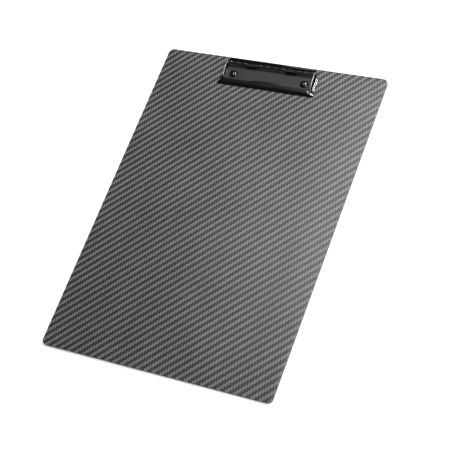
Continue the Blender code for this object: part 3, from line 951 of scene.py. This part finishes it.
def sheet_line(upper, knee, lower):
    """Middle line of the sheet from its upper edge, round the bend at the knee, to its lower."""
    bend = mix(LIP_BEND, JAW_BEND, smooth((knee.z - LIP_HEIGHT) / JAW_BAR_HEIGHT))
    up = upper - knee
    down = lower - knee
    first = knee + up.normalized() * min(bend, 0.45 * up.length)
    last = knee + down.normalized() * min(bend, 0.45 * down.length)
    line = [mix(upper, first, step / 4) for step in range(4)]
    for step in range(11):
        t = step / 10
        line.append(first * (1 - t) ** 2 + knee * 2 * t * (1 - t) + last * t * t)
    line += [mix(last, lower, 0.5), lower]
    return line


def thick_ring(line, normals):
    """Closed outline round one line of the sheet, with rounded edges."""
    half = SHEET / 2
    flat = half - SHEET_EDGE
    start_way = (line[0] - line[1]).normalized()
    end_way = (line[-1] - line[-2]).normalized()
    outer = [point + normal * half for point, normal in zip(line, normals)]
    inner = [point - normal * half for point, normal in zip(line, normals)]

    def rounded(point, way, normal):
        """Edge of the sheet, rounded from the face that normal points out of to the other."""
        centre = point - way * SHEET_EDGE
        edge = []
        for sign in (1, -1):
            turns = (0, 30, 60, 90) if sign > 0 else (90, 60, 30, 0)
            for turn in turns:
                tilt = math.radians(turn)
                edge.append(
                    centre
                    + normal * (sign * (flat + SHEET_EDGE * math.cos(tilt)))
                    + way * (SHEET_EDGE * math.sin(tilt))
                )
        return edge

    ring = outer[1:-1] + rounded(line[-1], end_way, normals[-1])
    ring += inner[-2:0:-1] + rounded(line[0], start_way, -normals[0])
    return ring


def make_lever(material, edge):
    """Pressed sheet frame: finger bar, two arms with lips, jaw bar, and the rolled rear edge."""
    half = rear_sections() + arm_sections() + front_sections()
    mirrored = [
        tuple(Vector((-point.x, point.y, point.z)) for point in section)
        for section in half[-2:0:-1]
    ]
    lines = [
        [world(*point) for point in sheet_line(*section)] for section in half + mirrored
    ]
    rings = []
    count = len(lines)
    for index, line in enumerate(lines):
        before = lines[index - 1]
        after = lines[(index + 1) % count]
        normals = []
        for place in range(len(line)):
            low = max(place - 1, 0)
            high = min(place + 1, len(line) - 1)
            along = after[place] - before[place]
            down = line[high] - line[low]
            normals.append(down.cross(along).normalized())
        rings.append(thick_ring(line, normals))
    curl = finger_curl(material)
    shape = bmesh.new()
    shape.from_mesh(curl.data)
    bpy.data.objects.remove(curl)
    skin(shape, rings, True)
    lever = add_piece("clip_lever", shape, [material, edge], 44)
    # Polygons along each arm's crest get the second material, the painted highlight of bright
    # steel.
    for polygon in lever.data.polygons:
        centre = polygon.center
        inset = CLIP_END - centre.y
        top = BOARD_THICKNESS + arm_crest(inset)
        beside = abs(abs(centre.x) - ARM_MIDDLE) < CREST_HALF_WIDTH
        along = HINGE_INSET - CREST_REAR < inset < corner_start + CREST_FRONT
        if beside and along and centre.z > top - CREST_DEPTH:
            polygon.material_index = 1
    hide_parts("lever")
    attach(lever, "lever_body")


def finger_curl(material):
    """Rolled rear edge of the finger bar, open underneath towards the front."""
    start = CURL_START
    end = start + math.tau - CURL_OPENING
    middle = CURL_RADIUS - SHEET / 2
    reach = ARM_MIDDLE - CURL_END_SETBACK
    outline = arc(CURL_INSET, CURL_HEIGHT, CURL_RADIUS, start, end, 40)
    lip_inset = CURL_INSET + middle * math.cos(end)
    lip_height = CURL_HEIGHT + middle * math.sin(end)
    outline += arc(lip_inset, lip_height, SHEET / 2, end, end + math.pi, 10)[1:-1]
    outline += arc(CURL_INSET, CURL_HEIGHT, CURL_RADIUS - SHEET, end, start, 30)
    shape = bmesh.new()
    points = [world(-reach, inset, height) for inset, height in outline]
    prism(shape, points, Vector((2 * reach, 0, 0)))
    curl = add_piece("finger_curl", shape, [material])
    soften(curl, CURL_EDGE, 50, 2)
    return curl


# ---------------------------------------------------------------- stage, lights, camera


FLOOR_REACH = 6.0
FLOOR_LEVEL = -0.1 * MM
WORLD_LIGHT = 0.06
BACKDROP_LIGHT = 0.85
SENSOR_WIDTH = 36
LENS_PER_WIDTH = 1302 / 460
CAMERA_PLACE = Vector((0.4971, -0.4226, 0.9623))
CAMERA_RIGHT = Vector((0.8907, 0.3442, -0.2970))
CAMERA_BACK = Vector((0.4163, -0.3547, 0.8372))


def make_floor():
    """Pale even floor, seen only from above."""
    finish = Finish("pale_floor", Specular_IOR_Level=0.0, Emission_Strength=1.0)
    cloud = finish.noise(finish.place(), 3.0, 2.0)
    finish.feed(
        Base_Color=finish.tint(cloud, (0.66, 0.66, 0.66), (0.68, 0.68, 0.68)),
        Roughness=0.9 + cloud * 0.05,
        Emission_Color=finish.tint(cloud, (0.42, 0.42, 0.42), (0.44, 0.44, 0.44)),
    )
    underneath = finish.node("ShaderNodeNewGeometry", {}, {}, "Backfacing")
    clear = finish.node("ShaderNodeBsdfTransparent", {}, {})
    top = Value(finish, finish.shader.outputs[0])
    one_sided = finish.node("ShaderNodeMixShader", {}, {0: underneath, 1: top, 2: clear})
    output = finish.tree.nodes["Material Output"]
    finish.tree.links.new(one_sided.socket, output.inputs["Surface"])
    shape = bmesh.new()
    corners = ((-1, -1), (1, -1), (1, 1), (-1, 1))
    reach = FLOOR_REACH
    shape.faces.new([shape.verts.new((x * reach, y * reach, FLOOR_LEVEL)) for x, y in corners])
    floor = add_piece("floor", shape, [finish.material])


def add_softbox(name, place, aim, size, power, colour=(1, 1, 1)):
    """Soft rectangular lamp at a place, turned towards aim."""
    lamp = bpy.data.lights.new(name, "AREA")
    lamp.shape = "RECTANGLE"
    lamp.size, lamp.size_y = size
    lamp.energy = power
    lamp.color = colour
    item = bpy.data.objects.new(name, lamp)
    bpy.context.scene.collection.objects.link(item)
    item.location = place
    item.rotation_euler = (Vector(aim) - Vector(place)).to_track_quat("-Z", "Y").to_euler()


def make_lights():
    """Faint even world with a pale backdrop, and four soft lamps."""
    world_light = bpy.data.worlds.new("studio")
    world_light.use_nodes = True
    tree = world_light.node_tree
    back = tree.nodes["Background"]
    back.inputs["Color"].default_value = (0.95, 0.97, 1, 1)
    seen = tree.nodes.new("ShaderNodeLightPath").outputs["Is Camera Ray"]
    strength = tree.nodes.new("ShaderNodeMapRange")
    strength.inputs["To Min"].default_value = WORLD_LIGHT
    strength.inputs["To Max"].default_value = BACKDROP_LIGHT
    tree.links.new(seen, strength.inputs["Value"])
    tree.links.new(strength.outputs[0], back.inputs["Strength"])
    bpy.context.scene.world = world_light
    clip = (0, 0.13, 0)
    middle = (0, 0, 0)
    add_softbox("rear_lamp", (0.24, 0.52, 0.70), clip, (0.1, 0.1), 6.3)
    add_softbox("right_lamp", (0.55, 0.0, 0.65), middle, (0.4, 0.4), 4.6)
    add_softbox("veil_lamp", (-0.08, 0.24, 1.0), middle, (0.3, 0.4), 5.2, (0.92, 0.89, 1))
    add_softbox("under_lamp", (0.2, -0.3, -0.9), middle, (0.6, 0.6), 9.0)


def make_camera():
    """Long lens, from high on the board's right front side."""
    lens = bpy.data.cameras.new("camera")
    lens.sensor_width = SENSOR_WIDTH
    lens.lens = LENS_PER_WIDTH * SENSOR_WIDTH
    lens.clip_start = 0.05
    item = bpy.data.objects.new("camera", lens)
    bpy.context.scene.collection.objects.link(item)
    right = CAMERA_RIGHT.normalized()
    back = (CAMERA_BACK - right * CAMERA_BACK.dot(right)).normalized()
    up = back.cross(right)
    turn = Matrix((right, up, back)).transposed().to_4x4()
    item.matrix_world = Matrix.Translation(CAMERA_PLACE) @ turn
    bpy.context.scene.camera = item


def make_clipboard():
    """Board first, then the clip from the base plate up."""
    enamel = stoved_enamel("gloss_black_enamel", (0.003, 0.003, 0.0033), 0.2, 700.0, 0.004 * MM)
    satin = stoved_enamel("satin_black_enamel", (0.013, 0.0133, 0.013), 0.42, 1400.0, 0.008 * MM)
    rivet = stoved_enamel("rivet_black_enamel", (0.004, 0.004, 0.0043), 0.16, 800.0, 0.003 * MM)
    turned_marks = (300.0, 4000.0, 4000.0)
    drawn_marks = (2500.0, 2500.0, 2500.0)
    rod = blackened_steel("blackened_rod", (0.004, 0.004, 0.0045), 0.28, turned_marks)
    drawn = blackened_steel("blackened_wire", (0.005, 0.005, 0.0055), 0.3, drawn_marks)
    make_board(woven_board(), cut_edge())
    make_base_plate(satin)
    for side, word in ((-1, "left"), (1, "right")):
        make_rivet(side, word, rivet)
        make_spring(side, word, drawn)
    make_pin(rod)
    # The lever's second material is the painted highlight on the arms' crests.
    make_lever(enamel, crest_highlight())


bpy.context.scene.view_settings.view_transform = "Standard"
make_clipboard()
make_floor()
make_lights()
make_camera()
